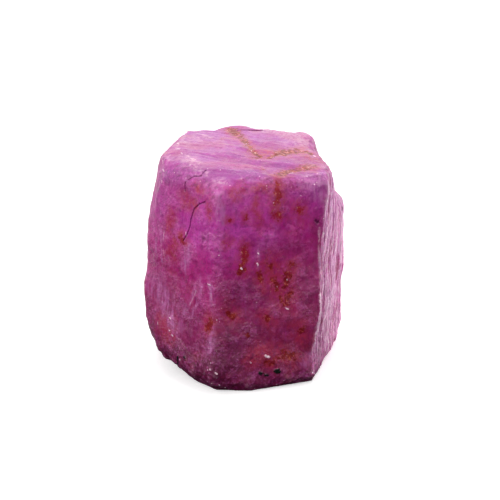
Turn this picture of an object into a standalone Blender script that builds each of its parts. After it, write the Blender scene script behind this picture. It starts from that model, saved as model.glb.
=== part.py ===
"""A raw ruby: one six-sided corundum crystal with a flat basal top, grown and broken as a single piece.

The frame is metres with +Z up. The origin is on the flat base that the crystal stands on, under the
middle of its box. -Y is the side with the broad front face, +X the side with the narrow striated face.
"""

import math

import bmesh
import bpy
from mathutils import Vector, noise

MM = 0.001

# Driving sizes of the crystal
HEIGHT = 15.4 * MM
ACROSS_FLATS = 12.7 * MM
APOTHEM = ACROSS_FLATS / 2
MIDDLE = Vector((0, 0, HEIGHT / 2))

# The six prism faces: which way each looks in degrees from +X, how many degrees it leans out at the
# top, and how far it is set out from a regular prism.
PRISM_FACES = {
    "right": (-13, 2.0, -0.13 * MM),
    "front": (-73, -1.0, -0.10 * MM),
    "left": (-137, -2.5, 0.06 * MM),
    "back_left": (167, -3.0, -0.10 * MM),
    "back": (107, -3.0, -0.10 * MM),
    "back_right": (47, -4.0, 0.45 * MM),
}

# The basal top, which dips a little to the right because the whole crystal leans that way
TOP_DIP = 2.5
TOP_DIP_TOWARDS = -10

# Worn shoulders round the top and breaks round the foot: which way each looks, its angle above the
# horizon, and its distance from the crystal's middle.
SLANTED_FACES = {
    "left_upper": (-172, 11, 7.25 * MM),
    "top_left_shoulder": (167, 45, 9.15 * MM),
    "top_right_shoulder": (12, 28, 8.12 * MM),
    "top_back_shoulder": (74, 45, 9.25 * MM),
    "top_front_shoulder": (-73, 52, 9.35 * MM),
    "top_left_front_shoulder": (-133, 50, 9.4 * MM),
    "foot_left_chip": (-170, -22, 8.0 * MM),
    "foot_left_under": (-160, -46, 8.72 * MM),
    "foot_left_break": (-138, -38, 9.02 * MM),
    "foot_right_break": (-13, -28, 8.55 * MM),
    "foot_front_edge": (-67, -50, 9.66 * MM),
    "foot_front_corner": (-95, -52, 9.85 * MM),
    "foot_back_break": (120, -40, 8.9 * MM),
}

# The grid that each flat face is cut into, so that it can carry relief
ROW_HEIGHT = 0.66 * MM
COLUMN_WIDTH = 0.42 * MM
STRIATED_COLUMN_WIDTH = 0.24 * MM
TOP_CELL = 0.50 * MM
SHORTEST_EDGE = 0.05 * MM

# Wear: how often the edges are rounded, and how strongly. One upright edge stayed crisp.
WEAR_ROUNDS = 7
WEAR = 0.85
CRISP_WEAR = 0.12
CRISP_EDGE = Vector((5.1, -4.7)) * MM
CRISP_REACH = 1.3 * MM

# Relief, all measured outwards from the flat faces
SWELL_DEPTH = 0.16 * MM
SWELL_LENGTH = 4.2 * MM
LUMP_DEPTH = 0.06 * MM
LUMP_LENGTH = 1.3 * MM
STRIA_DEPTH = {"right": 0.11 * MM, "left": 0.05 * MM, "front": 0.03 * MM}
OTHER_STRIA_DEPTH = 0.06 * MM
STRIA_WIDTH = 0.55 * MM
STRIA_LENGTH = 7.0 * MM
LEDGE_DEPTH = 0.20 * MM
LEDGE_HEIGHT = 1.05 * MM
TERRACE_DEPTH = 0.10 * MM
TERRACE_WIDTH = 2.6 * MM
RELIEF_STARTS = 0.15 * MM
RELIEF_FULL = 1.1 * MM

# Hollows and lumps a hand would feel: where each is in millimetres, how wide, and how far it goes
# in or out.
HOLLOWS = {
    "right_shoulder_hollow": ((6.4, 1.6, 13.0), 2.6, -0.62),
    "top_right_corner": ((4.9, 3.8, 15.2), 1.5, 0.34),
    "left_foot_notch": ((-6.5, -1.4, 2.1), 1.1, -0.36),
    "left_foot_ledge": ((-6.1, -1.5, 1.1), 0.8, 0.16),
    "left_waist": ((-6.9, -2.2, 8.6), 1.1, -0.14),
    "left_cheek": ((-6.9, -2.3, 6.2), 1.9, 0.22),
    "right_cheek": ((6.8, 2.1, 6.8), 2.2, 0.20),
    "crisp_edge_top": ((5.9, -4.7, 14.4), 2.4, 0.34),
    "crisp_edge_foot": ((4.8, -4.9, 2.0), 2.8, -0.30),
    "front_dish": ((-0.4, -6.6, 6.1), 2.4, -0.16),
    "front_scoop": ((3.2, -5.4, 3.4), 1.9, -0.12),
    "back_lip": ((-0.2, 5.4, 15.3), 1.7, 0.16),
    "back_pocket": ((2.6, 6.0, 9.2), 2.0, -0.40),
    "back_left_pit": ((-6.2, 1.6, 5.2), 1.4, -0.32),
    "back_right_chip": ((5.9, 3.9, 4.6), 1.5, -0.30),
}


def facing(azimuth, elevation):
    """The unit vector that points this way, in degrees from +X and above the horizon."""
    around = math.radians(azimuth)
    up = math.radians(elevation)
    level = math.cos(up)
    return Vector((math.cos(around) * level, math.sin(around) * level, math.sin(up)))


def smooth_step(low, high, value):
    """0 at low, 1 at high, and smooth between them."""
    share = min(1.0, max(0.0, (value - low) / (high - low)))
    return share * share * (3 - 2 * share)


def cut_face(bm, names, name, point, normal):
    """Takes away what lies beyond one flat face, closes the cut and marks it with the face's name."""
    everything = bm.verts[:] + bm.edges[:] + bm.faces[:]
    cut = bmesh.ops.bisect_plane(
        bm, geom=everything, plane_co=point, plane_no=normal, clear_outer=True
    )
    rim = [item for item in cut["geom_cut"] if isinstance(item, bmesh.types.BMEdge)]
    if rim:
        mark = bm.faces.layers.int["crystal_face"]
        names.append(name)
        for face in bmesh.ops.contextual_create(bm, geom=rim)["faces"]:
            face[mark] = len(names) - 1


def flat_faced_crystal():
    """The crystal as a closed solid of flat faces, with the list of the faces' names."""
    bm = bmesh.new()
    bmesh.ops.create_cube(bm, size=4 * HEIGHT)
    bm.faces.layers.int.new("crystal_face")
    names = []
    for name, (azimuth, lean, set_out) in PRISM_FACES.items():
        point = MIDDLE + facing(azimuth, 0) * (APOTHEM + set_out)
        cut_face(bm, names, name, point, facing(azimuth, -lean))
    top = Vector((0, 0, HEIGHT))
    cut_face(bm, names, "top", top, facing(TOP_DIP_TOWARDS, 90 - TOP_DIP))
    cut_face(bm, names, "base", Vector((0, 0, 0)), Vector((0, 0, -1)))
    for name, (azimuth, elevation, distance) in SLANTED_FACES.items():
        normal = facing(azimuth, elevation)
        cut_face(bm, names, name, MIDDLE + normal * distance, normal)
    bmesh.ops.recalc_face_normals(bm, faces=bm.faces[:])
    return bm, names


def slice_face(bm, index, direction, spacing):
    """Cuts one flat face into strips of equal width across a direction."""
    mark = bm.faces.layers.int["crystal_face"]
    corners = [v.co for f in bm.faces if f[mark] == index for v in f.verts]
    reach = [direction.dot(corner) for corner in corners]
    for step in range(math.ceil(min(reach) / spacing), math.floor(max(reach) / spacing) + 1):
        strip = [f for f in bm.faces if f[mark] == index]
        edges = list({e for f in strip for e in f.edges})
        corners = list({v for f in strip for v in f.verts})
        bmesh.ops.bisect_plane(
            bm,
            geom=corners + edges + strip,
            dist=SHORTEST_EDGE,
            plane_co=direction * (step * spacing),
            plane_no=direction,
        )


def grid_faces(bm, names):
    """Gives every face but the base a grid: upright columns and level rows, or square cells on top."""
    mark = bm.faces.layers.int["crystal_face"]
    for index, name in enumerate(names):
        if name == "base":
            continue
        normal = next(f.normal.copy() for f in bm.faces if f[mark] == index)
        if name == "top":
            slice_face(bm, index, Vector((1, 0, 0)), TOP_CELL)
            slice_face(bm, index, Vector((0, 1, 0)), TOP_CELL)
            continue
        across = Vector((-normal.y, normal.x, 0)).normalized()
        column = STRIATED_COLUMN_WIDTH if name == "right" else COLUMN_WIDTH
        slice_face(bm, index, across, column)
        slice_face(bm, index, Vector((0, 0, 1)), ROW_HEIGHT)
    bmesh.ops.triangulate(bm, faces=bm.faces[:], quad_method="BEAUTY", ngon_method="BEAUTY")


def wear_edges(bm):
    """Rounds the edges by drawing each corner towards its neighbours. The base stays flat."""
    free = [v for v in bm.verts if v.co.z > SHORTEST_EDGE]
    for _ in range(WEAR_ROUNDS):
        moved = []
        for vert in free:
            ring = [e.other_vert(vert).co for e in vert.link_edges]
            middle = sum(ring, Vector()) / len(ring)
            crisp = smooth_step(CRISP_REACH, 0, (vert.co.xy - CRISP_EDGE).length)
            worn = WEAR + (CRISP_WEAR - WEAR) * crisp
            moved.append(vert.co.lerp(middle, 0.5 * worn))
        for vert, place in zip(free, moved):
            vert.co = place


def stria(name, point, normal):
    """Upright growth striations: long ridges side by side, strongest on the narrow right face."""
    across = Vector((-normal.y, normal.x, 0)).normalized().dot(point)
    ridge = noise.noise(Vector((across / STRIA_WIDTH, point.z / STRIA_LENGTH, normal.x * 3)))
    return STRIA_DEPTH.get(name, OTHER_STRIA_DEPTH) * ridge


def ledge(point):
    """Level ledges of a break: each tread stands out and falls back below it."""
    wander = noise.noise(point / (2.2 * MM))
    share = (point.z / LEDGE_HEIGHT + wander) % 1.0
    return LEDGE_DEPTH * (smooth_step(0, 0.25, share) - share)


def terrace(point):
    """Growth layers on the top: broad low steps whose rims curve."""
    wander = 0.9 * noise.noise(point / (4.5 * MM))
    share = ((0.35 * point.x + point.y) / TERRACE_WIDTH + wander) % 1.0
    return TERRACE_DEPTH * (smooth_step(0, 0.2, share) - share)


def face_relief(name, point, normal):
    """The relief that goes with the kind of face."""
    if name in PRISM_FACES:
        return stria(name, point, normal)
    if name == "top":
        return terrace(point)
    if name.startswith("foot"):
        return ledge(point)
    return 0.0


def relief(names_here, point, normal):
    """How far the surface stands out from its flat faces at a point."""
    swell = SWELL_DEPTH * noise.fractal(point / SWELL_LENGTH, 1.0, 2.0, 3)
    lump = LUMP_DEPTH * noise.noise(point / LUMP_LENGTH + Vector((7.3, 1.1, 4.9)))
    kind = sum(face_relief(name, point, normal) for name in names_here) / len(names_here)
    hollow = 0.0
    for place, width, depth in HOLLOWS.values():
        away = (point - Vector(place) * MM).length / (width * MM)
        hollow += depth * MM * smooth_step(1, 0, away)
    return swell + lump + kind + hollow


def carve_relief(bm, names):
    """Moves every corner above the base out or in along its normal."""
    mark = bm.faces.layers.int["crystal_face"]
    bm.normal_update()
    places = []
    for vert in bm.verts:
        names_here = sorted({names[f[mark]] for f in vert.link_faces})
        fade = smooth_step(RELIEF_STARTS, RELIEF_FULL, vert.co.z)
        out = fade * relief(names_here, vert.co, vert.normal) if fade else 0.0
        places.append(vert.co + vert.normal * out)
    for vert, place in zip(bm.verts, places):
        vert.co = place


def centre_on_base(bm):
    """Moves the crystal so that the middle of its box stands over the origin, with its base at z = 0."""
    low = Vector([min(v.co[axis] for v in bm.verts) for axis in range(3)])
    high = Vector([max(v.co[axis] for v in bm.verts) for axis in range(3)])
    shift = Vector((-(low.x + high.x) / 2, -(low.y + high.y) / 2, -low.z))
    bmesh.ops.translate(bm, vec=shift, verts=bm.verts[:])


def ruby_material():
    material = bpy.data.materials.new("ruby")
    material.use_nodes = True
    shader = material.node_tree.nodes["Principled BSDF"]
    shader.inputs["Base Color"].default_value = (0.36, 0.06, 0.20, 1.0)
    shader.inputs["Roughness"].default_value = 0.42
    shader.inputs["Metallic"].default_value = 0.0
    shader.inputs["IOR"].default_value = 1.77
    return material


def main():
    for obj in list(bpy.data.objects):
        bpy.data.objects.remove(obj)
    bm, names = flat_faced_crystal()
    grid_faces(bm, names)
    wear_edges(bm)
    carve_relief(bm, names)
    centre_on_base(bm)
    mesh = bpy.data.meshes.new("ruby_crystal")
    bm.to_mesh(mesh)
    bm.free()
    mesh.shade_smooth()
    mesh.materials.append(ruby_material())
    crystal = bpy.data.objects.new("ruby_crystal", mesh)
    bpy.context.scene.collection.objects.link(crystal)


main()
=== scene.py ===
import math

import bpy
import numpy as np
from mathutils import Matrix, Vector, noise


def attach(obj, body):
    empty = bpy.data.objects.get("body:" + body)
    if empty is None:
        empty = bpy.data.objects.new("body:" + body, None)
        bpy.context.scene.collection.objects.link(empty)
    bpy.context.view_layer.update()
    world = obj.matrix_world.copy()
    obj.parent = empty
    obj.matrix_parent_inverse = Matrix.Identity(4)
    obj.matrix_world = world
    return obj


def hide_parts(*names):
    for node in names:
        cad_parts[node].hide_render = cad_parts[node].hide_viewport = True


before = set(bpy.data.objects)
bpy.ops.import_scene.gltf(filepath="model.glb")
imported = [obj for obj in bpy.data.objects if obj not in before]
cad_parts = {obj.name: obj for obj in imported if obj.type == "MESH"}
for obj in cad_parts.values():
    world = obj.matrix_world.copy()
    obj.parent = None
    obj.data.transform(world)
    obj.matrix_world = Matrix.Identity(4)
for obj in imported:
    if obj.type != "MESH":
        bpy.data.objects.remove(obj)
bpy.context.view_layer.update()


# The camera
#
# It looks at the broad front face from a little above, from far off and through a long lens, so that
# the crystal's upright edges stay almost parallel.

MM = 0.001
IMAGE_MIDDLE = 250
PIXEL = 0.07 * MM
CAMERA_DISTANCE = 220 * MM
CAMERA_ELEVATION = math.radians(20)
CAMERA_TARGET = Vector((0.363, -0.133, 8.12)) * MM
SENSOR_WIDTH = 36

camera_data = bpy.data.cameras.new("camera")
camera_data.sensor_width = SENSOR_WIDTH
camera_data.lens = SENSOR_WIDTH * CAMERA_DISTANCE / (2 * IMAGE_MIDDLE * PIXEL)
camera_data.clip_start = 20 * MM
camera = bpy.data.objects.new("camera", camera_data)
bpy.context.scene.collection.objects.link(camera)
bpy.context.scene.camera = camera

camera_back = Vector((0, -math.cos(CAMERA_ELEVATION), math.sin(CAMERA_ELEVATION)))
camera_up = Vector((0, math.sin(CAMERA_ELEVATION), math.cos(CAMERA_ELEVATION)))
camera.location = CAMERA_TARGET + camera_back * CAMERA_DISTANCE
camera.rotation_euler = (math.radians(90) - CAMERA_ELEVATION, 0, 0)


# The crystal
#
# A single stone of corundum that grew as a six-sided prism and was broken off at its foot. Its faces
# are uneven from growth and corrosion: upright striations on the prism faces, low curved growth steps
# on the top, and worn shoulders.

SKIN_CELL = 0.130 * MM

crystal = bpy.data.objects.new("crystal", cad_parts["ruby_crystal"].data.copy())
bpy.context.scene.collection.objects.link(crystal)
bpy.ops.object.select_all(action="DESELECT")
crystal.select_set(True)
bpy.context.view_layer.objects.active = crystal
bpy.context.tool_settings.mesh_select_mode = (True, False, False)
bpy.ops.object.mode_set(mode="EDIT")
bpy.ops.mesh.select_all(action="SELECT")
bpy.ops.mesh.remove_doubles(threshold=0.001 * MM)
bpy.ops.object.mode_set(mode="OBJECT")


def finish_modifier(kind, name, **settings):
    """Adds a modifier to the crystal with these settings and applies it."""
    modifier = crystal.modifiers.new(name, kind)
    for setting, value in settings.items():
        setattr(modifier, setting, value)
    bpy.ops.object.modifier_apply(modifier=name)


finish_modifier("REMESH", "fine skin", mode="VOXEL", voxel_size=SKIN_CELL)
finish_modifier("SMOOTH", "even skin", factor=0.5, iterations=3)


# The marks in the stone
#
# Each is where the photograph shows it: cracks, rust-stained veins and blotches along old fractures,
# bright cleavage specks with painted glints, and black grains of another mineral grown into the foot.
# A mark is a line of pixels that is cast onto the crystal, with its half width in millimetres.

CRACKS = {
    "lip line": (0.06, [(238, 130), (246, 130), (254, 130), (262, 130)]),
    "upper crack": (0.050, [(206, 170), (201, 176), (195, 176), (189, 179), (185, 183), (185, 191)]),
    "edge hollow": (0.11, [(316, 221), (318, 222)]),
    "lower crack": (
        0.045,
        [(205, 202), (199, 204), (194, 209), (191, 219), (189, 229), (186, 236), (183, 241)],
    ),
}
VEINS = {
    "vein head": (0.30, [(231, 129), (238, 135)]),
    "long vein": (0.20, [(236, 133), (240, 137), (245, 142), (249, 147), (252, 150)]),
    "vein foot": (0.15, [(251, 149), (255, 153), (260, 157)]),
    "right vein": (0.40, [(281, 153), (287, 151), (296, 151)]),
    "right vein near end": (0.15, [(269, 158), (276, 155), (282, 153)]),
    "right vein far end": (0.16, [(296, 151), (304, 151), (311, 154)]),
    "rim vein": (0.26, [(281, 174), (288, 171), (296, 170)]),
    "rim vein end": (0.32, [(300, 169), (307, 167), (313, 165)]),
}
RUST = {
    "upright streak": (0.22, [(244, 249), (245, 255), (244, 261)]),
    "streak middle": (0.12, [(244, 260), (242, 267)]),
    "streak foot": (0.26, [(242, 267), (241, 271)]),
    "upper streak": (0.19, [(278, 184), (278, 192)]),
    "upper streak foot": (0.23, [(278, 195), (276, 201)]),
    "left small blotch": (0.12, [(229, 220), (230, 220)]),
    "middle blotch": (0.26, [(274, 215), (279, 216)]),
    "right blotch": (0.24, [(298, 209), (301, 210)]),
    "crack end": (0.20, [(181, 238), (183, 242)]),
    "small blotch": (0.16, [(246, 217), (246, 218)]),
    "cluster edge": (0.14, [(270, 265), (271, 267)]),
    "cluster stem": (0.17, [(259, 273), (260, 279)]),
    "cluster wing": (0.15, [(273, 279), (275, 283)]),
    "cluster wing middle": (0.14, [(277, 285), (276, 290)]),
    "cluster wing foot": (0.12, [(280, 296), (281, 301)]),
    "cluster head": (0.22, [(287, 273), (289, 275)]),
    "cluster heart": (0.21, [(286, 279), (285, 286)]),
    "cluster right foot": (0.24, [(290, 293), (289, 296)]),
    "cluster foot": (0.20, [(287, 300), (286, 304)]),
    "right soft": (0.20, [(291, 265), (293, 264)]),
    "low orange": (0.22, [(229, 314), (233, 316)]),
    "low yellow": (0.18, [(266, 317), (267, 320)]),
    "low left": (0.26, [(210, 322), (208, 329)]),
    "low right": (0.20, [(301, 331), (304, 329)]),
    "low small": (0.12, [(247, 335), (248, 337)]),
    "foot ochre": (0.30, [(283, 355), (292, 356)]),
    "foot rust": (0.22, [(267, 363), (273, 362)]),
}
# Pale cleavage specks, partly painted glints; the edge light ones are painted highlights.
FLECKS_AND_GLINTS = {
    "rim fleck": (0.10, [(178, 143), (178, 144)]),
    "rim fleck below": (0.11, [(177, 149), (179, 149)]),
    "rim corner fleck": (0.075, [(186, 133), (187, 133)]),
    "top left speck": (0.070, [(202, 135), (203, 135)]),
    "shoulder fleck": (0.12, [(192, 159), (194, 160)]),
    "shoulder crumb": (0.06, [(181, 153), (182, 154)]),
    "second shoulder crumb": (0.07, [(188, 156), (189, 156)]),
    "third shoulder crumb": (0.05, [(190, 165), (191, 165)]),
    "left rim crumb": (0.06, [(163, 161), (163, 163)]),
    "shoulder speck": (0.039, [(199, 164), (200, 163)]),
    "upper left fleck": (0.060, [(162, 180), (162, 182)]),
    "crack end fleck": (0.034, [(186, 232), (186, 236)]),
    "middle beads": (0.043, [(264, 149), (265, 149)]),
    "rim beads": (0.043, [(289, 174), (293, 173)]),
    "front rim speck": (0.039, [(259, 167), (261, 167)]),
    "left shoulder fleck": (0.058, [(163, 169), (164, 171)]),
    "right rim fleck": (0.090, [(314, 156), (315, 157)]),
    "vein sparkle": (0.034, [(246, 143), (247, 144)]),
    "second vein sparkle": (0.034, [(251, 150), (252, 151)]),
    "streak grain": (0.058, [(241, 268), (242, 269)]),
    "cluster grain": (0.058, [(257, 263), (258, 265)]),
    "orange grain": (0.034, [(287, 279), (287, 280)]),
    "bright fleck": (0.053, [(286, 308), (288, 309)]),
    "middle fleck": (0.048, [(208, 284), (210, 285)]),
    "foot fleck": (0.082, [(266, 356), (269, 357)]),
    "low fleck": (0.058, [(215, 373), (217, 374)]),
    "low speck": (0.034, [(210, 370), (211, 370)]),
    "left foot fleck": (0.044, [(172, 335), (173, 336)]),
    "left foot speck": (0.029, [(169, 330), (170, 331)]),
    "left low fleck": (0.044, [(170, 318), (171, 319)]),
    "left line": (0.029, [(158, 322), (158, 324)]),
    "edge light": (0.078, [(320, 293), (320, 302)]),
    "edge light below": (0.055, [(321, 311), (321, 314)]),
    "low right speck": (0.039, [(324, 318), (324, 320)]),
    "cluster fleck": (0.034, [(277, 286), (277, 287)]),
    "cluster upper fleck": (0.034, [(258, 253), (259, 254)]),
    "foot pink fleck": (0.039, [(250, 362), (251, 363)]),
    "left foot glint": (0.035, [(180, 359), (180, 360)]),
}
# Pale scratches; the one down the right edge is a painted highlight.
PALE_LINES_AND_EDGE_HIGHLIGHTS = {
    "right edge": (
        0.070,
        [(319, 228), (319, 250), (320, 276), (320, 304), (319, 322), (315, 342), (311, 354)],
    ),
    "left rim": (0.050, [(158, 170), (168, 158), (178, 146), (186, 134)]),
    "left dash": (0.035, [(164, 232), (163, 240)]),
    "second left dash": (0.035, [(161, 240), (160, 248)]),
    "third left dash": (0.030, [(163, 248), (165, 260)]),
    "fourth left dash": (0.035, [(168, 255), (169, 261)]),
    "middle line": (0.035, [(208, 284), (211, 293), (211, 299)]),
    "diagonal line": (0.030, [(199, 284), (194, 296), (190, 304)]),
}
BLACK_GRAINS = {
    "large grain": (0.17, [(276, 371), (278, 371)]),
    "small grain": (0.13, [(260, 373), (261, 373)]),
    "grain crumb": (0.07, [(265, 375), (268, 375)]),
    "left grain": (0.10, [(178, 357), (178, 363)]),
    "left crumb": (0.06, [(184, 357), (185, 358)]),
    "right speck": (0.07, [(342, 208), (342, 210)]),
}

# The broader marks tint the stone: painted shade along the rims, calm places, haze and faint stains,
# and places where it is darker, redder or more violet, some of them painted shade.

# Painted shade along the rims, where the rounded shoulders catch less sheen than the top.
RIM_PAINTED_SHADES = {
    "front rim": (0.95, [(210, 174), (236, 173), (262, 174), (300, 176), (318, 180)]),
    "left rim": (0.60, [(166, 174), (186, 168), (206, 171)]),
    "right low": (0.95, [(280, 165), (308, 161)]),
}
CALM_WINDOWS = {
    "front": (1.8, [(232, 206), (262, 230), (300, 236)]),
    "foot": (0.9, [(272, 334), (290, 334)]),
    "foot edge": (0.9, [(214, 384), (262, 388), (298, 384)]),
}
HAZE = {
    "corner streak": (0.34, [(217, 184), (219, 200), (216, 218)]),
    "second corner streak": (0.14, [(223, 206), (224, 224)]),
    "thin left streak": (0.10, [(161, 228), (162, 262)]),
    "second left streak": (0.09, [(167, 234), (169, 264)]),
    "third left streak": (0.08, [(156, 238), (156, 260)]),
    "left middle veil": (0.36, [(188, 248), (184, 268)]),
    "cluster veil": (0.15, [(258, 250), (258, 268)]),
    "left long streak": (0.16, [(200, 278), (192, 298), (184, 314)]),
    "second long streak": (0.12, [(203, 284), (197, 304), (190, 318)]),
    "middle streak": (0.20, [(209, 278), (212, 303)]),
    "low streak": (0.24, [(212, 326), (210, 352)]),
    "left shoulder": (0.45, [(158, 168), (164, 164), (168, 160)]),
    "left blob": (0.22, [(162, 170), (164, 173)]),
    "rim veil": (0.30, [(179, 138), (184, 140)]),
    "top patch": (0.20, [(217, 141), (222, 141)]),
    "crumbled shoulder": (0.30, [(196, 168), (200, 175)]),
    "crack head veil": (0.14, [(206, 172), (207, 175)]),
    "corner blob": (0.24, [(222, 180), (226, 182)]),
    "shoulder veil": (0.40, [(186, 156), (196, 162)]),
    "corner crest": (0.30, [(217, 181), (226, 183)]),
    # Painted light over a corner that faces away from the front lamp.
    "right shoulder painted light": (0.50, [(306, 181), (318, 186), (322, 196)]),
    "right foot haze": (0.35, [(304, 362), (312, 354), (318, 340)]),
    "left low haze": (0.80, [(158, 288), (168, 306), (172, 322)]),
    "top left veil": (0.55, [(184, 142), (206, 136)]),
    "top front veil": (0.60, [(186, 158), (196, 164)]),
    "top back veil": (1.00, [(268, 130), (292, 134), (304, 146)]),
}
STAINS = {
    "right vein stain": (1.1, [(262, 155), (280, 152), (298, 152), (313, 157)]),
    "rim vein stain": (0.55, [(276, 175), (292, 171), (312, 166)]),
    "long vein stain": (0.40, [(224, 128), (240, 137), (256, 154)]),
    "under the rim": (0.34, [(256, 189), (264, 188)]),
    "upper front": (0.42, [(233, 193), (236, 196)]),
    "upper front red": (0.36, [(241, 186), (243, 190)]),
    "upper front line": (0.26, [(256, 199), (254, 210)]),
    "small upper front": (0.28, [(228, 220), (231, 219)]),
    "small middle": (0.30, [(245, 214), (246, 220)]),
    "second small middle": (0.30, [(258, 216), (260, 222)]),
    "soft middle": (0.35, [(226, 244), (230, 242)]),
    "above the crack": (0.40, [(196, 186), (200, 192)]),
    "upper middle": (0.46, [(278, 186), (277, 216)]),
    "right blotch": (0.45, [(296, 207), (302, 212)]),
    "cluster": (0.85, [(268, 264), (276, 282), (284, 298)]),
    "cluster top": (0.30, [(267, 254), (269, 266)]),
    "cluster stem": (0.34, [(259, 271), (260, 282), (263, 290)]),
    "cluster right": (0.50, [(292, 266), (289, 280)]),
    "upright streak": (0.40, [(244, 244), (243, 272)]),
    "crack stain": (0.60, [(186, 200), (194, 205)]),
    "left streak": (0.50, [(172, 214), (169, 228)]),
    "left blotch": (0.60, [(174, 243), (171, 254)]),
    "crack foot": (0.45, [(181, 236), (184, 242)]),
    "second crack stain": (0.35, [(208, 204), (210, 216)]),
    "left foot": (0.60, [(161, 324), (168, 336)]),
    "low right": (0.70, [(300, 326), (302, 344)]),
    "low left": (0.45, [(209, 320), (209, 330)]),
    "low middle": (0.50, [(228, 312), (234, 317)]),
    "low yellow": (0.45, [(264, 314), (270, 322)]),
    "foot": (0.85, [(262, 352), (284, 356), (294, 358)]),
    "foot left": (0.45, [(250, 362), (274, 364)]),
}
VIOLET_DEPTHS = {
    "top middle": (1.00, [(228, 158), (254, 164)]),
    "top right": (0.80, [(268, 142), (262, 150)]),
    "top left": (0.50, [(176, 158), (186, 152)]),
    "corner": (0.50, [(226, 188), (234, 206), (230, 214)]),
    # Painted shade on the rounded corner below the rim, which catches more light.
    "head of the corner": (0.42, [(222, 184), (227, 192)]),
    "below the corner": (0.50, [(210, 232), (222, 240)]),
    "left shoulder": (0.40, [(172, 168), (184, 165)]),
    "rim corner": (0.40, [(203, 173), (208, 180)]),
    "left of the crack": (0.60, [(180, 178), (184, 190)]),
    "middle": (0.75, [(242, 292), (252, 306)]),
    "left low": (0.60, [(198, 312), (190, 330)]),
}
# Wine red places. Those along the foot and its edge by the table are partly painted shade.
WINE_DEPTHS_AND_SHADE = {
    "foot": (1.30, [(262, 338), (284, 332), (296, 344)]),
    "right of the streak": (0.80, [(262, 245), (300, 246)]),
    "lower middle": (0.90, [(232, 290), (240, 330)]),
    "foot edge": (0.60, [(222, 380), (262, 384), (292, 382)]),
    "right corner": (0.50, [(317, 222), (317, 262)]),
    "cluster": (0.80, [(256, 282), (276, 306)]),
    "right middle": (1.00, [(304, 258), (306, 296)]),
    "left foot": (0.35, [(176, 344), (182, 356)]),
    "left low": (1.20, [(166, 292), (180, 312)]),
}
CRIMSON_HEARTS = {
    "right": (1.40, [(278, 206), (296, 222), (300, 240)]),
    "middle": (0.80, [(262, 200), (256, 214)]),
    # Painted shade under the front rim, where the rounded shoulder catches more light.
    "head of the front": (0.50, [(268, 190), (280, 189), (298, 188)]),
    "upper right": (0.70, [(292, 190), (304, 198)]),
    "low left": (0.42, [(176, 264), (188, 276)]),
}
PURPLE_CLOUDS = {
    "left shoulder": (0.90, [(166, 168), (184, 164), (200, 170)]),
    "upper front": (0.70, [(228, 190), (244, 194), (257, 192)]),
    "violet window": (1.10, [(216, 224), (242, 228)]),
    "violet window foot": (0.60, [(222, 240), (236, 246)]),
    "left face": (0.90, [(200, 214), (196, 232)]),
    "second window": (0.60, [(262, 222), (268, 234)]),
}


def on_crystal(pixel):
    """The point of the crystal that this pixel of the photograph shows, or the nearest one."""
    across = (pixel[0] - IMAGE_MIDDLE) * PIXEL
    down = (pixel[1] - IMAGE_MIDDLE) * PIXEL
    aimed_at = CAMERA_TARGET + Vector((across, 0, 0)) - camera_up * down
    direction = (aimed_at - camera.location).normalized()
    hit, place, _, _ = crystal.ray_cast(camera.location, direction)
    if not hit:
        place = crystal.closest_point_on_mesh(aimed_at)[1]
    return place


def distance_to_line(points, line):
    """How far each point is from a line of points."""
    nearest = np.full(len(points), 1.0)
    for start, end in zip(line, line[1:]):
        start, along = np.array(start), np.array(end - start)
        share = np.clip((points - start) @ along / max(along @ along, 1e-12), 0, 1)
        nearest = np.minimum(nearest, np.linalg.norm(points - start - share[:, None] * along, axis=1))
    return nearest


def at_points(name):
    """The places, under the name co, or the normals of all points of the crystal."""
    values = np.zeros(len(crystal.data.vertices) * 3)
    crystal.data.vertices.foreach_get(name, values)
    return values.reshape(-1, 3)


MARKS = {
    "cracks": CRACKS,
    "veins": VEINS,
    "rust": RUST,
    "flecks and glints": FLECKS_AND_GLINTS,
    "haze": HAZE,
    "stains": STAINS,
    "violet depths": VIOLET_DEPTHS,
    "wine depths and shade": WINE_DEPTHS_AND_SHADE,
    "crimson hearts": CRIMSON_HEARTS,
    "purple clouds": PURPLE_CLOUDS,
    "black grains": BLACK_GRAINS,
    "pale lines and edge highlights": PALE_LINES_AND_EDGE_HIGHLIGHTS,
    "rim painted shades": RIM_PAINTED_SHADES,
    "calm windows": CALM_WINDOWS,
}
FINE_MARKS = ("cracks", "veins", "flecks and glints", "black grains", "pale lines and edge highlights")
FINE_MARGIN = 0.10 * MM


def cast_marks():
    """The lines of every kind of mark on the crystal as it now is, with their half widths."""
    bpy.context.view_layer.update()
    return {
        kind: [
            (half_width * MM, [on_crystal(pixel) for pixel in pixels])
            for half_width, pixels in marks.values()
        ]
        for kind, marks in MARKS.items()
    }


def split_near_fine_marks():
    """Halves the skin's cells along the marks that are finer than the cells."""
    places = at_points("co")
    near = np.zeros(len(places), bool)
    for kind in FINE_MARKS:
        for half_width, line in mark_lines[kind]:
            near |= distance_to_line(places, line) < half_width + FINE_MARGIN
    bpy.ops.object.mode_set(mode="EDIT")
    bpy.ops.mesh.select_all(action="DESELECT")
    bpy.ops.object.mode_set(mode="OBJECT")
    crystal.data.vertices.foreach_set("select", near)
    bpy.ops.object.mode_set(mode="EDIT")
    bpy.ops.mesh.subdivide(number_cuts=1)
    bpy.ops.object.mode_set(mode="OBJECT")


mark_lines = cast_marks()
split_near_fine_marks()
split_near_fine_marks()


# The crystal's relief
#
# The prism faces carry upright ridges, the top carries low growth lines that run left to right, and
# the worn shoulders and the broken foot are lumpy and chipped. The base stays flat.

BASE_FLAT = 0.05 * MM
BASE_FADE = 0.5 * MM


def step(low, high, values):
    """0 at low, 1 at high, and smooth between them."""
    share = np.clip((values - low) / (high - low), 0, 1)
    return share * share * (3 - 2 * share)


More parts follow.
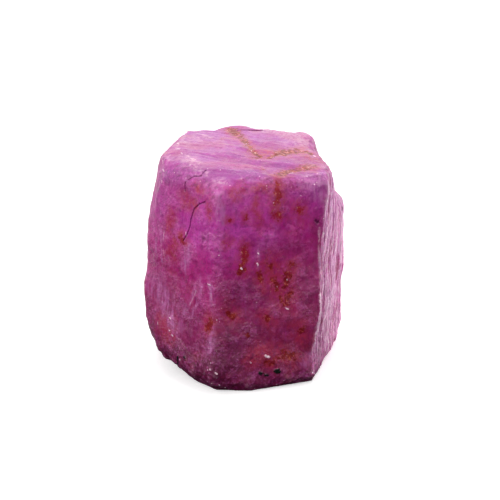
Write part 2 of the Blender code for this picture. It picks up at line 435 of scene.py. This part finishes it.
def weigh(name, weights):
    """A vertex group of the crystal with a weight for each point, fading out at the base."""
    group = crystal.vertex_groups.new(name=name)
    weights = weights * step(BASE_FLAT, BASE_FADE, heights)
    for index in np.flatnonzero(weights > 0):
        group.add([int(index)], float(weights[index]), "REPLACE")


RIGHT_TURN = math.radians(-13)
RIGHT_FACING = Vector((math.cos(RIGHT_TURN), math.sin(RIGHT_TURN), 0))
FOOT_HEIGHT = 3.4 * MM
CHIPPED_BELOW = 2.2 * MM
CHIPPED_FULLY = 0.8 * MM

heights = at_points("co")[:, 2]
normals = at_points("normal")
facing_up = normals[:, 2]
weigh("above base", np.ones(len(heights)))
weigh("right face", step(0.80, 0.95, normals @ np.array(RIGHT_FACING)))
weigh("prism faces", step(0.45, 0.20, np.abs(facing_up)))
weigh("top", step(0.80, 0.95, facing_up))
worn_shoulders = step(0.20, 0.45, facing_up) * step(0.97, 0.85, facing_up)
worn_foot = step(FOOT_HEIGHT, 0.5 * FOOT_HEIGHT, heights) * step(0.1, -0.3, facing_up)
weigh("worn places", np.maximum(worn_shoulders, worn_foot))
weigh("broken foot", step(CHIPPED_BELOW, CHIPPED_FULLY, heights))


def clouds(name, size, depth):
    texture = bpy.data.textures.new(name, "CLOUDS")
    texture.noise_scale = size
    texture.noise_depth = depth
    return texture


def facets(name, size):
    texture = bpy.data.textures.new(name, "VORONOI")
    texture.noise_scale = size
    texture.noise_intensity = 1.0
    texture.distance_metric = "DISTANCE"
    return texture


def raise_relief(texture, depth, group, stretch=None, turn=0.0):
    """Displaces the crystal by a texture, stretched along the axes and turned if asked."""
    settings = {"texture": texture, "strength": depth, "mid_level": 0.5, "vertex_group": group}
    settings["texture_coords"] = "LOCAL"
    guide = None
    if stretch:
        guide = bpy.data.objects.new("guide", None)
        guide.scale = stretch
        guide.rotation_euler.z = turn
        bpy.context.scene.collection.objects.link(guide)
        bpy.context.view_layer.update()
        settings["texture_coords"] = "OBJECT"
        settings["texture_coords_object"] = guide
    finish_modifier("DISPLACE", texture.name, **settings)
    if guide:
        bpy.data.objects.remove(guide)


UPRIGHT = (1, 1, 14)
LEFT_TO_RIGHT = (9, 1, 1)
GROWTH_TURN = math.radians(15)

raise_relief(clouds("uneven growth", 1.6 * MM, 2), 0.14 * MM, "above base")
raise_relief(clouds("upright striae", 0.42 * MM, 3), 0.30 * MM, "right face", UPRIGHT)
raise_relief(clouds("faint striae", 0.42 * MM, 2), 0.05 * MM, "prism faces", UPRIGHT)
raise_relief(clouds("growth steps", 1.00 * MM, 2), 0.14 * MM, "top", (4, 1, 1), -GROWTH_TURN)
raise_relief(clouds("growth lines", 0.50 * MM, 2), 0.10 * MM, "top", LEFT_TO_RIGHT, -GROWTH_TURN)
raise_relief(facets("chips", 0.9 * MM), 0.16 * MM, "worn places")
raise_relief(facets("foot chips", 1.1 * MM), 0.26 * MM, "broken foot")
raise_relief(clouds("crumbled wear", 0.40 * MM, 3), 0.13 * MM, "worn places")
raise_relief(clouds("corroded skin", 0.28 * MM, 3), 0.05 * MM, "above base")


WOBBLE_LENGTH = 0.10 * MM
WOBBLE = 0.55


def mark_strength(places, kind, blur):
    """How strongly a kind of mark shows at each point: 1 inside, falling to 0 over the blurred rim."""
    strength = np.zeros(len(places))
    for half_width, line in mark_lines[kind]:
        length = max(WOBBLE_LENGTH, 0.8 * half_width)
        distance = distance_to_line(places, line) / half_width
        for index in np.flatnonzero(distance < 1 + blur + WOBBLE):
            wobble = noise.noise(Vector(places[index]) / length + Vector((half_width / MM, 3, 5)))
            rim = distance[index] + WOBBLE * wobble
            strength[index] = max(strength[index], float(step(1 + blur, 1 - blur, rim)))
    return strength


def keep_attribute(name, values):
    attribute = crystal.data.attributes.new(name, "FLOAT", "POINT")
    attribute.data.foreach_set("value", values.astype(np.float32))


CRACK_DEPTH = 0.05 * MM
VEIN_DEPTH = 0.05 * MM
GRAIN_HEIGHT = 0.05 * MM
FLECK_HEIGHT = 0.03 * MM

BLURS = {"cracks": 0.5, "flecks and glints": 0.8, "black grains": 0.35}

# The relief has moved the skin, so the marks are cast onto it again.

mark_lines = cast_marks()
places = at_points("co")
strengths = {kind: mark_strength(places, kind, BLURS.get(kind, 1.0)) for kind in MARKS}
for kind, strength in strengths.items():
    keep_attribute(kind, strength)

normals = at_points("normal")
out = GRAIN_HEIGHT * strengths["black grains"] + FLECK_HEIGHT * strengths["flecks and glints"]
out -= CRACK_DEPTH * strengths["cracks"] + VEIN_DEPTH * strengths["veins"]
out *= step(BASE_FLAT, BASE_FADE, places[:, 2])
places += normals * out[:, None]
places[:, 2] = np.maximum(places[:, 2], 0)
crystal.data.vertices.foreach_set("co", places.ravel())
crystal.data.update()
bpy.ops.object.shade_smooth()


# Raised edges and corners are painted paler, a painted highlight for the light that gets through them.
# How far each point stands out from the smoothed stone is kept for the material.

RIDGE_ROUNDS = 40
RIDGE_FULL = 0.10 * MM


def ridge_strength():
    """How far each point stands out from the stone once that is evened out over and over."""
    edges = np.zeros(len(crystal.data.edges) * 2, int)
    crystal.data.edges.foreach_get("vertices", edges)
    first, second = edges.reshape(-1, 2).T
    count = np.bincount(edges, minlength=len(places))[:, None]
    smoothed = places.copy()
    for _ in range(RIDGE_ROUNDS):
        beside = np.zeros_like(smoothed)
        np.add.at(beside, first, smoothed[second])
        np.add.at(beside, second, smoothed[first])
        smoothed = 0.5 * smoothed + 0.5 * beside / count
    return np.einsum("ij,ij->i", places - smoothed, normals) / RIDGE_FULL


keep_attribute("ridge", np.clip(ridge_strength(), -1, 1))


# The ruby's material
#
# Corundum coloured by chromium: translucent magenta, violet near the top and wine red near the foot,
# where its darker colour is partly painted shade, clouded by tiny fractures. Its faces are semi-gloss
# and streaked, and iron has stained the fractures.
# The helpers add nodes to the tree at hand, which later on is the table's and then the world's.

ruby = bpy.data.materials.new("ruby")
ruby.use_nodes = True
tree = ruby.node_tree
shader = tree.nodes["Principled BSDF"]


def node(kind, settings=None, **sockets):
    """A node of this kind with its settings, its sockets set to values or linked to other nodes."""
    made = tree.nodes.new(kind)
    for name, value in (settings or {}).items():
        setattr(made, name, value)
    for name, value in sockets.items():
        connect(value, made.inputs[name.replace("_", " ")])
    return made


def connect(value, socket):
    if isinstance(value, bpy.types.NodeSocket):
        tree.links.new(value, socket)
    else:
        socket.default_value = value


def calculate(operation, first, second=0.0):
    """The result of one sum on two numbers."""
    made = node("ShaderNodeMath", {"operation": operation})
    connect(first, made.inputs[0])
    connect(second, made.inputs[1])
    return made.outputs[0]


def product(first, *others):
    for other in others:
        first = calculate("MULTIPLY", first, other)
    return first


def total(first, *others):
    for other in others:
        first = calculate("ADD", first, other)
    return first


def largest(first, *others):
    for other in others:
        first = calculate("MAXIMUM", first, other)
    return first


def rest_of(share):
    """What a share leaves of the whole."""
    return calculate("SUBTRACT", 1.0, share)


def reach_along(vector, direction):
    """How far a vector reaches in a direction."""
    made = node("ShaderNodeVectorMath", {"operation": "DOT_PRODUCT"})
    connect(vector, made.inputs[0])
    connect(direction, made.inputs[1])
    return made.outputs["Value"]


def ranged(value, low, high, to_low=0.0, to_high=1.0):
    """A value carried smoothly from one range to another."""
    made = node(
        "ShaderNodeMapRange",
        {"interpolation_type": "SMOOTHSTEP"},
        Value=value, From_Min=low, From_Max=high, To_Min=to_low, To_Max=to_high,
    )
    return made.outputs["Result"]


def mixed(share, first, second, blend="MIX"):
    """Two colours mixed."""
    made = node("ShaderNodeMix", {"data_type": "RGBA", "blend_type": blend})
    connect(share, made.inputs[0])
    connect(first, made.inputs[6])
    connect(second, made.inputs[7])
    return made.outputs[2]


coordinates = node("ShaderNodeTexCoord").outputs["Object"]


def clouded(per_mm, detail=4.0, roughness=0.55, distortion=0.0, seed=(0, 0, 0), turn=0.0):
    """Noise with so many repeats a millimetre along each axis, turned about Z if asked."""
    place = coordinates
    if turn:
        place = node("ShaderNodeMapping", Vector=place, Rotation=(0, 0, turn)).outputs["Vector"]
    scale = [repeats / MM for repeats in per_mm]
    mapping = node("ShaderNodeMapping", Vector=place, Scale=scale, Location=seed)
    made = node(
        "ShaderNodeTexNoise",
        Vector=mapping.outputs["Vector"],
        Scale=1.0, Detail=detail, Roughness=roughness, Distortion=distortion,
    )
    return made.outputs["Fac"]


def kept(name):
    """An attribute kept on the crystal's mesh."""
    return node("ShaderNodeAttribute", {"attribute_name": name}).outputs["Fac"]


WINE = (0.15, 0.003, 0.045, 1)
CRIMSON = (0.42, 0.005, 0.145, 1)
MAGENTA = (0.52, 0.009, 0.235, 1)
VIOLET = (0.51, 0.018, 0.355, 1)
PLUM = (0.14, 0.003, 0.070, 1)
ORCHID = (0.60, 0.055, 0.380, 1)
LILAC = (0.54, 0.105, 0.500, 1)
MAUVE = (0.62, 0.220, 0.530, 1)
HAZE_LILAC = (0.62, 0.170, 0.470, 1)
PALE_PINK = (0.84, 0.46, 0.64, 1)
WHITE_PINK = (0.95, 0.74, 0.82, 1)
FLECK_LIGHT = (0.50, 0.095, 0.32, 1)
DEEP_LILAC = (0.42, 0.030, 0.320, 1)
RIM_LILAC = (0.37, 0.023, 0.302, 1)
VIOLET_GLOW = (0.70, 0.066, 0.485, 1)
CRACK_SHADE = (0.09, 0.003, 0.05, 1)
RUST_RED = (0.21, 0.004, 0.007, 1)
RUST_CRIMSON = (0.34, 0.006, 0.026, 1)
RUST_ORANGE = (0.36, 0.028, 0.018, 1)
GOLD = (0.66, 0.19, 0.16, 1)
VEIN_BROWN = (0.27, 0.026, 0.014, 1)
VEIN_ORANGE = (0.66, 0.155, 0.095, 1)
PEACH = (0.64, 0.120, 0.180, 1)
BRICK = (0.46, 0.022, 0.085, 1)
BLACK_GREEN = (0.006, 0.009, 0.007, 1)

WINE_AND_SHADE_UP_TO = 0.5 * MM
VIOLET_FROM = 13 * MM

normal = node("ShaderNodeNewGeometry").outputs["Normal"]
upward = node("ShaderNodeSeparateXYZ", Vector=normal).outputs["Z"]
height = node("ShaderNodeSeparateXYZ", Vector=coordinates).outputs["Z"]

# The clear stone is wine red at the foot and violet towards the top, and clouded throughout. The
# darkening towards the foot is partly painted shade.

tone = clouded((0.22, 0.22, 0.16), detail=3)
raised = ranged(height, WINE_AND_SHADE_UP_TO, VIOLET_FROM)
depth_tone = total(product(raised, 0.80), product(tone, 0.6))
depth_ramp = node("ShaderNodeValToRGB", Fac=calculate("SUBTRACT", depth_tone, 0.25))
stops = depth_ramp.color_ramp.elements
stops[0].color, stops[0].position = WINE, 0.0
stops[1].color, stops[1].position = VIOLET, 0.95
stops.new(0.40).color = CRIMSON
stops.new(0.70).color = MAGENTA
colour = depth_ramp.outputs["Color"]

# Faces that look up get paler colours from here on, partly painted sheen.
top_share = ranged(upward, 0.80, 0.97)
pale = mixed(top_share, ORCHID, PALE_PINK)
dark = mixed(top_share, PLUM, VIOLET)

cloud = clouded((0.9, 0.9, 0.7), detail=6, roughness=0.62, seed=(4, 1, 9))
fine_cloud = clouded((2.6, 2.6, 2.2), detail=4, roughness=0.65, seed=(5, 1, 6))
patchy = ranged(fine_cloud, 0.32, 0.68, 0.45, 1.0)
# Darker wine, plum and crimson places and violet clouds; some at the foot and below the rim are
# painted shade.
colour = mixed(product(kept("wine depths and shade"), patchy, 0.55), colour, WINE)
colour = mixed(product(kept("violet depths"), patchy, 0.38), colour, PLUM)
colour = mixed(product(kept("crimson hearts"), patchy, 0.6), colour, CRIMSON)
colour = mixed(product(kept("purple clouds"), patchy, 0.85), colour, VIOLET_GLOW)
colour = mixed(ranged(cloud, 0.54, 0.74, 0, 0.40), colour, ORCHID)
colour = mixed(ranged(cloud, 0.48, 0.28, 0, 0.40), colour, PLUM)
reddish = clouded((0.6, 0.6, 0.6), detail=5, roughness=0.65, seed=(8, 12, 3))
colour = mixed(ranged(reddish, 0.52, 0.70, 0, 0.45), colour, BRICK)

# The top is lilac and banded by its growth lines, its paleness and pale bands partly painted sheen,
# and its rim and shoulders are worn and crumbled.

growth_lines = clouded((0.20, 1.6, 1.2), 6, 0.72, distortion=0.7, seed=(2, 7, 1), turn=GROWTH_TURN)
top_colour_and_sheen = mixed(ranged(growth_lines, 0.38, 0.47), DEEP_LILAC, LILAC)
top_colour_and_sheen = mixed(ranged(growth_lines, 0.49, 0.58), top_colour_and_sheen, MAUVE)
top_colour_and_sheen = mixed(ranged(growth_lines, 0.60, 0.68), top_colour_and_sheen, PALE_PINK)
top_colour_and_sheen = mixed(product(kept("violet depths"), 0.75), top_colour_and_sheen, DEEP_LILAC)
colour = mixed(product(top_share, 0.85), colour, top_colour_and_sheen)
sweep = clouded((0.35, 0.35, 0.35), detail=3, seed=(6, 2, 2))
colour = mixed(product(top_share, ranged(sweep, 0.46, 0.62, 0, 0.40)), colour, PEACH)
# The rims are darkened with painted shade.
rim_shade_share = product(kept("rim painted shades"), ranged(fine_cloud, 0.32, 0.68, 0.75, 1.0))
colour = mixed(rim_shade_share, colour, RIM_LILAC)
calm_front = largest(kept("crimson hearts"), kept("calm windows"))
worn_share = product(ranged(upward, 0.20, 0.45), rest_of(top_share), rest_of(calm_front))
worn_cloud = clouded((2.1, 2.1, 2.1), detail=6, roughness=0.7, distortion=0.4, seed=(7, 3, 9))
colour = mixed(product(worn_share, ranged(worn_cloud, 0.53, 0.60, 0, 0.58)), colour, MAUVE)
colour = mixed(product(worn_share, ranged(worn_cloud, 0.48, 0.38, 0, 0.66)), colour, PLUM)
# Painted shade: crimson on the upward-tilted shoulders, darkest where they catch the most light.
shoulder_painted_shade = product(kept("crimson hearts"), ranged(upward, 0.12, 0.35, 0, 0.55))
colour = mixed(shoulder_painted_shade, colour, CRIMSON)

# Upright streaks run down the prism faces. They are strongest on the striated right face, whose pale
# striae are partly painted sheen, and which is redder and darker low down, a painted shade.

SHADED_BELOW = 7 * MM
MOST_SHADED_BELOW = 2 * MM

streaks = clouded((2.2, 2.2, 0.24), detail=6, roughness=0.7, seed=(1, 3, 2))
colour = mixed(ranged(streaks, 0.54, 0.72, 0, 0.30), colour, pale)
colour = mixed(ranged(streaks, 0.46, 0.30, 0, 0.30), colour, dark)

right_share = ranged(reach_along(normal, RIGHT_FACING), 0.72, 0.92)
striae = clouded((1.4, 1.4, 0.20), detail=4, roughness=0.70, distortion=0.4, seed=(8, 2, 5))
right_colour_and_sheen = mixed(ranged(striae, 0.40, 0.46), CRIMSON, ORCHID)
right_colour_and_sheen = mixed(ranged(striae, 0.48, 0.54, 0, 0.75), right_colour_and_sheen, MAUVE)
right_colour_and_sheen = mixed(ranged(striae, 0.57, 0.63, 0, 0.42), right_colour_and_sheen, PALE_PINK)
right_colour_and_sheen = mixed(ranged(height, SHADED_BELOW, MOST_SHADED_BELOW, 0, 0.32), right_colour_and_sheen, CRIMSON)
colour = mixed(product(right_share, 0.75), colour, right_colour_and_sheen)


# The stone is cracked into small crumbs, each a little lighter or darker than the next, and its pale
# specks are partly painted glints. The calm windows on the front show few of them, and the broken foot
# is the most grainy.

GRAINY_BELOW = 5.5 * MM
GRAINIEST_BELOW = 1.5 * MM


def crumb_tone(per_mm, seed):
    """A random value for each of the small crumbs that the stone is cracked into."""
    mapping = node("ShaderNodeMapping", Vector=coordinates, Scale=(per_mm / MM,) * 3, Location=seed)
    bend = node("ShaderNodeTexNoise", Vector=mapping.outputs["Vector"], Scale=0.8, Detail=2.0)
    bent = node("ShaderNodeVectorMath", {"operation": "ADD"})
    connect(mapping.outputs["Vector"], bent.inputs[0])
    connect(bend.outputs["Color"], bent.inputs[1])
    cells = node("ShaderNodeTexVoronoi", Vector=bent.outputs["Vector"], Scale=1.0)
    return node("ShaderNodeSeparateColor", Color=cells.outputs["Color"]).outputs["Red"]


clear_patches = ranged(clouded((0.7, 0.7, 0.7), detail=3, seed=(9, 2, 7)), 0.40, 0.60, 0.25, 1.0)
mosaic = crumb_tone(3.2, (2, 6, 4))
pale_crumbs = product(ranged(mosaic, 0.35, 1.0, 0, 0.30), clear_patches)
colour = mixed(pale_crumbs, colour, FLECK_LIGHT, "SCREEN")
colour = mixed(ranged(mosaic, 0.35, 0.0, 0, 0.22), colour, dark)
fine_mosaic = crumb_tone(8.0, (5, 3, 1))
lively = product(rest_of(product(kept("calm windows"), 0.7)), clear_patches)
colour = mixed(ranged(fine_cloud, 0.48, 0.30, 0, 0.30), colour, dark)
grainy = clouded((5.5, 5.5, 5.5), detail=3, roughness=0.75, seed=(3, 3, 3))
colour = mixed(ranged(grainy, 0.47, 0.32, 0, 0.36), colour, dark)
# Pale specks screened over the colour, partly painted glints.
fine_pale_and_glints = total(
    ranged(fine_cloud, 0.50, 0.72, 0, 0.24),
    ranged(grainy, 0.53, 0.72, 0, 0.60),
    ranged(fine_mosaic, 0.60, 1.0, 0, 0.40),
)
colour = mixed(product(fine_pale_and_glints, lively), colour, FLECK_LIGHT, "SCREEN")

granular = product(ranged(height, GRAINY_BELOW, GRAINIEST_BELOW), patchy)
pale_grains = product(granular, ranged(fine_mosaic, 0.70, 0.95, 0, 0.36))
colour = mixed(pale_grains, colour, FLECK_LIGHT, "SCREEN")
colour = mixed(product(granular, ranged(fine_mosaic, 0.32, 0.05, 0, 0.30)), colour, WINE)

# Edges get a painted highlight, and milky haze and faint rust follow the fractures. The photograph
# doesn't show the sides turned away, so their stains come from noise.

AWAY = (0, 1, 0)

ridge = product(kept("ridge"), ranged(fine_cloud, 0.35, 0.65, 0.2, 1.0))
colour = mixed(ranged(ridge, 0.30, 1.0, 0, 0.22), colour, PALE_PINK)
haze_streaks = clouded((4.5, 4.5, 0.8), detail=5, roughness=0.7, seed=(4, 4, 4))
haze_share = product(kept("haze"), ranged(haze_streaks, 0.40, 0.60, 0.10, 0.78))
colour = mixed(haze_share, colour, mixed(top_share, HAZE_LILAC, PALE_PINK))
turned_away = ranged(reach_along(normal, AWAY), -0.3, 0.3)
hidden_cloud = clouded((0.55, 0.55, 0.40), detail=5, roughness=0.65, seed=(11, 4, 6))
hidden_stains = product(ranged(hidden_cloud, 0.52, 0.66), turned_away)
stains = largest(kept("stains"), hidden_stains)
hidden_rust = product(ranged(hidden_cloud, 0.62, 0.70), turned_away)
rust = largest(kept("rust"), hidden_rust)
stain_share = product(stains, ranged(fine_cloud, 0.34, 0.60, 0.25, 0.90))
colour = mixed(stain_share, colour, mixed(top_share, BRICK, PEACH))
# Pale scratches, and a painted highlight along the right edge, broken up by noise.
edge_cloud = clouded((3.5, 3.5, 1.6), detail=4, roughness=0.7, seed=(2, 2, 9))
edge_break = ranged(edge_cloud, 0.40, 0.60, 0.05, 0.70)
colour = mixed(product(kept("pale lines and edge highlights"), edge_break), colour, PALE_PINK)

# Rust in the fractures is dark red, brighter high up, and beaded with orange and gold.

DARK_RUST_UP_TO = 8.5 * MM
BRIGHT_RUST_FROM = 10.5 * MM

rust_grain = clouded((3.6, 3.6, 2.6), detail=6, roughness=0.75, seed=(6, 6, 1))
bead = clouded((5.0, 5.0, 5.0), detail=3, roughness=0.70, seed=(1, 6, 16))
ragged = product(calculate("SUBTRACT", rust_grain, 0.5), 4.2)
rust_share = ranged(total(rust, ragged), 0.10, 0.85, 0, 0.92)
rust_share = product(rust_share, ranged(rust, 0.0, 0.25))
rust_red = mixed(ranged(height, DARK_RUST_UP_TO, BRIGHT_RUST_FROM), RUST_RED, RUST_CRIMSON)
rust_colour = mixed(ranged(bead, 0.46, 0.62), rust_red, RUST_ORANGE)
rust_colour = mixed(ranged(bead, 0.61, 0.68, 0, 0.7), rust_colour, GOLD)
colour = mixed(rust_share, colour, rust_colour)
stained = product(stains, rest_of(top_share))
colour = mixed(product(stained, ranged(rust_grain, 0.42, 0.32, 0, 0.85)), colour, RUST_RED)
colour = mixed(product(stained, ranged(bead, 0.60, 0.72, 0, 0.7)), colour, GOLD)
colour = mixed(product(stained, ranged(bead, 0.72, 0.80, 0, 0.8)), colour, PALE_PINK)

# The veins on the top are brown and orange grains with white ones between them.

vein_grain = clouded((3.6, 4.4, 4.4), detail=4, roughness=0.75, seed=(9, 9, 2))
vein_colour = mixed(ranged(vein_grain, 0.47, 0.57), VEIN_BROWN, VEIN_ORANGE)
vein_colour = mixed(ranged(vein_grain, 0.60, 0.66), vein_colour, WHITE_PINK)
vein_ragged = product(calculate("SUBTRACT", rust_grain, 0.5), 3.8)
vein_width = ranged(clouded((0.9, 0.9, 0.9), detail=2, seed=(3, 1, 12)), 0.38, 0.60, 0.55, 1.15)
vein_ragged = total(vein_ragged, product(kept("veins"), vein_width))
vein_share = ranged(vein_ragged, 0.00, 0.70, 0, 0.90)
vein_share = product(vein_share, ranged(kept("veins"), 0.0, 0.15))
colour = mixed(vein_share, colour, vein_colour)


# Pale cleavage specks, partly painted glints, and painted sparkles along the edges and in patches
# shine a little by emission, which is painted light.

PAINTED_FLECK_GLOW = 0.22
NO_LIGHT = (0, 0, 0, 1)


def sparkle(per_mm, size, seed):
    """Small dots of painted glint scattered over the stone."""
    mapping = node("ShaderNodeMapping", Vector=coordinates, Scale=(per_mm / MM,) * 3, Location=seed)
    cells = node("ShaderNodeTexVoronoi", Vector=mapping.outputs["Vector"], Scale=1.0)
    return ranged(cells.outputs["Distance"], size, 0.6 * size)


sparkle_patches = ranged(clouded((0.45, 0.45, 0.45), seed=(5, 8, 8)), 0.50, 0.64, 0.0, 0.7)
sparkle_places = product(sparkle_patches, ranged(grainy, 0.45, 0.58), lively)
edge_sparkles = product(ranged(kept("ridge"), 0.15, 0.6), ranged(fine_cloud, 0.42, 0.55))
sparkle_places = largest(sparkle_places, edge_sparkles)
sparkles = largest(sparkle(1.5, 0.10, (3, 1, 4)), sparkle(2.9, 0.15, (7, 5, 2)))
sparkles = product(sparkles, sparkle_places)
fleck_rim = total(kept("flecks and glints"), product(calculate("SUBTRACT", grainy, 0.5), 2.4))
fleck_and_glint_share = product(ranged(fleck_rim, 0.25, 1.1), ranged(kept("flecks and glints"), 0.0, 0.3))
fleck_and_glint_share = largest(fleck_and_glint_share, sparkles)
fleck_and_glint_colour = mixed(ranged(fleck_and_glint_share, 0.6, 1.2), PALE_PINK, WHITE_PINK)
colour = mixed(fleck_and_glint_share, colour, fleck_and_glint_colour)

# Cracks and black grains lie over all other colours.

crack_share = product(kept("cracks"), ranged(grainy, 0.34, 0.52, 0.60, 0.88))
colour = mixed(crack_share, colour, CRACK_SHADE)
colour = mixed(kept("black grains"), colour, BLACK_GREEN)
connect(colour, shader.inputs["Base Color"])
# They shine a little by emission: a painted light.
connect(mixed(fleck_and_glint_share, NO_LIGHT, WHITE_PINK), shader.inputs["Emission Color"])
shader.inputs["Emission Strength"].default_value = PAINTED_FLECK_GLOW

# The faces are semi-gloss. Rust, cracks and black grains mirror less, and so does the calm front.

CLEAR_SPECULAR = 0.5

gloss = ranged(clouded((2.5, 2.5, 2.5), detail=4, seed=(7, 7, 7)), 0.3, 0.7, 0.30, 0.52)
gloss = calculate("SUBTRACT", gloss, product(fleck_and_glint_share, 0.18))
connect(gloss, shader.inputs["Roughness"])
half_earthy = product(largest(stained, calm_front), 0.45)
earthy = largest(rust_share, kept("black grains"), kept("cracks"), half_earthy)
specular = calculate("SUBTRACT", CLEAR_SPECULAR, product(earthy, 0.38))
connect(specular, shader.inputs["Specular IOR Level"])

# Skin, striae and growth lines that are too fine for the mesh.

SKIN_HEIGHT = 0.05 * MM

skin = clouded((5.5, 5.5, 4.5), detail=4, roughness=0.7, seed=(2, 5, 8))
relief = total(
    product(skin, lively, 2.8),
    product(striae, right_share, 14.0),
    product(growth_lines, top_share, 6.5),
    product(streaks, 0.8),
)
bump = node("ShaderNodeBump", Height=relief, Distance=SKIN_HEIGHT, Strength=0.8)
connect(bump.outputs["Normal"], shader.inputs["Normal"])

# Light bends in corundum and goes a little way in, red the farthest.

CORUNDUM_IOR = 1.76
LIGHT_REACH = 0.5 * MM

shader.inputs["IOR"].default_value = CORUNDUM_IOR
shader.inputs["Subsurface Weight"].default_value = 0.30
shader.inputs["Subsurface Radius"].default_value = (1.0, 0.22, 0.5)
shader.inputs["Subsurface Scale"].default_value = LIGHT_REACH

crystal.data.materials.clear()
crystal.data.materials.append(ruby)
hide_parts("ruby_crystal")
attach(crystal, "root")


# The studio
#
# A white table under a large soft light overhead, with a bright backdrop behind and the room dark in
# front. In the stone's reflections the table has painted light behind the stone and painted shade in
# front of it, and a band of painted emission to the back right; for the camera it is white and shines
# a little by emission, a painted light that softens its shadows.

PAINTED_SHADE_FRONT = -4 * MM
PAINTED_LIGHT_BACK = 10 * MM
STRIP_START = Vector((8, 3, 0)) * MM
STRIP_ACROSS = Vector((0.9, -0.42, 0))
STRIP_HALF_WIDTH = 20 * MM
BACKDROP_AT = Vector((0.4, 0.88, 0.25)).normalized()
TABLE_SIDE = 6
TABLE_SEEN = (0.95, 0.95, 0.95, 1)
MIRRORED_PAINTED_SHADE = (0.03, 0.03, 0.03, 1)
MIRRORED_PAINTED_LIGHT = (0.85, 0.85, 0.85, 1)
PURE_WHITE = (1, 1, 1, 1)

bpy.ops.mesh.primitive_plane_add(size=TABLE_SIDE)
table = bpy.context.object
table.name = "table"
white = bpy.data.materials.new("white table")
white.use_nodes = True
tree = white.node_tree
table_shader = tree.nodes["Principled BSDF"]
table_place = node("ShaderNodeSeparateXYZ", Vector=node("ShaderNodeTexCoord").outputs["Object"])
# Painted light and shade for reflections: bright behind the stone, dark in front of it.
backwards = total(table_place.outputs["Y"], product(table_place.outputs["X"], 0.30))
painted_light_share = ranged(backwards, PAINTED_SHADE_FRONT, PAINTED_LIGHT_BACK)
mirrored = mixed(painted_light_share, MIRRORED_PAINTED_SHADE, MIRRORED_PAINTED_LIGHT)
seen = node("ShaderNodeLightPath").outputs["Is Camera Ray"]
connect(mixed(seen, mirrored, TABLE_SEEN), table_shader.inputs["Base Color"])
table_shader.inputs["Roughness"].default_value = 1.0
table_shader.inputs["Specular IOR Level"].default_value = 0.0
table_shader.inputs["Emission Color"].default_value = PURE_WHITE
# A band behind and right of the stone shines by emission in reflections, and the whole table a little
# for the camera: painted light.
from_strip = node("ShaderNodeVectorMath", {"operation": "SUBTRACT"})
connect(node("ShaderNodeTexCoord").outputs["Object"], from_strip.inputs[0])
from_strip.inputs[1].default_value = STRIP_START
off_strip = calculate("ABSOLUTE", reach_along(from_strip.outputs["Vector"], STRIP_ACROSS))
glowing_strip = product(painted_light_share, ranged(off_strip, STRIP_HALF_WIDTH, 0.4 * STRIP_HALF_WIDTH))
painted_glow = product(glowing_strip, rest_of(seen))
painted_glow = total(product(painted_glow, 1.45), product(seen, 0.42))
connect(painted_glow, table_shader.inputs["Emission Strength"])
table.data.materials.append(white)


def soft_light(name, place, aim, size, power):
    light_data = bpy.data.lights.new(name, "AREA")
    light_data.shape = "DISK"
    light_data.size = size
    light_data.energy = power
    light = bpy.data.objects.new(name, light_data)
    bpy.context.scene.collection.objects.link(light)
    light.location = place
    light.rotation_euler = (Vector(aim) - Vector(place)).to_track_quat("-Z", "Y").to_euler()


STONE_MIDDLE = (0, 0, 0.008)

soft_light("overhead light", (0.0, 0.09, 0.29), (0, 0, 0), 0.34, 0.36)
soft_light("right light", (0.30, 0.02, 0.16), STONE_MIDDLE, 0.20, 0.14)
soft_light("left light", (-0.26, -0.14, 0.18), STONE_MIDDLE, 0.36, 0.80)
soft_light("front light", (0.04, -0.30, 0.20), STONE_MIDDLE, 0.42, 0.60)

world = bpy.data.worlds.new("studio")
bpy.context.scene.world = world
world.use_nodes = True
tree = world.node_tree
looking = node("ShaderNodeTexCoord").outputs["Generated"]
looking_up = node("ShaderNodeSeparateXYZ", Vector=looking).outputs["Z"]
backdrop_light = ranged(reach_along(looking, BACKDROP_AT), -0.1, 0.85, 0.14, 1.40)
room_light = product(backdrop_light, ranged(looking_up, 0.32, 0.74, 1.20, 0.42))
connect(room_light, tree.nodes["Background"].inputs["Strength"])
tree.nodes["Background"].inputs["Color"].default_value = PURE_WHITE

bpy.context.scene.view_settings.view_transform = "Standard"
bpy.context.scene.view_settings.look = "None"
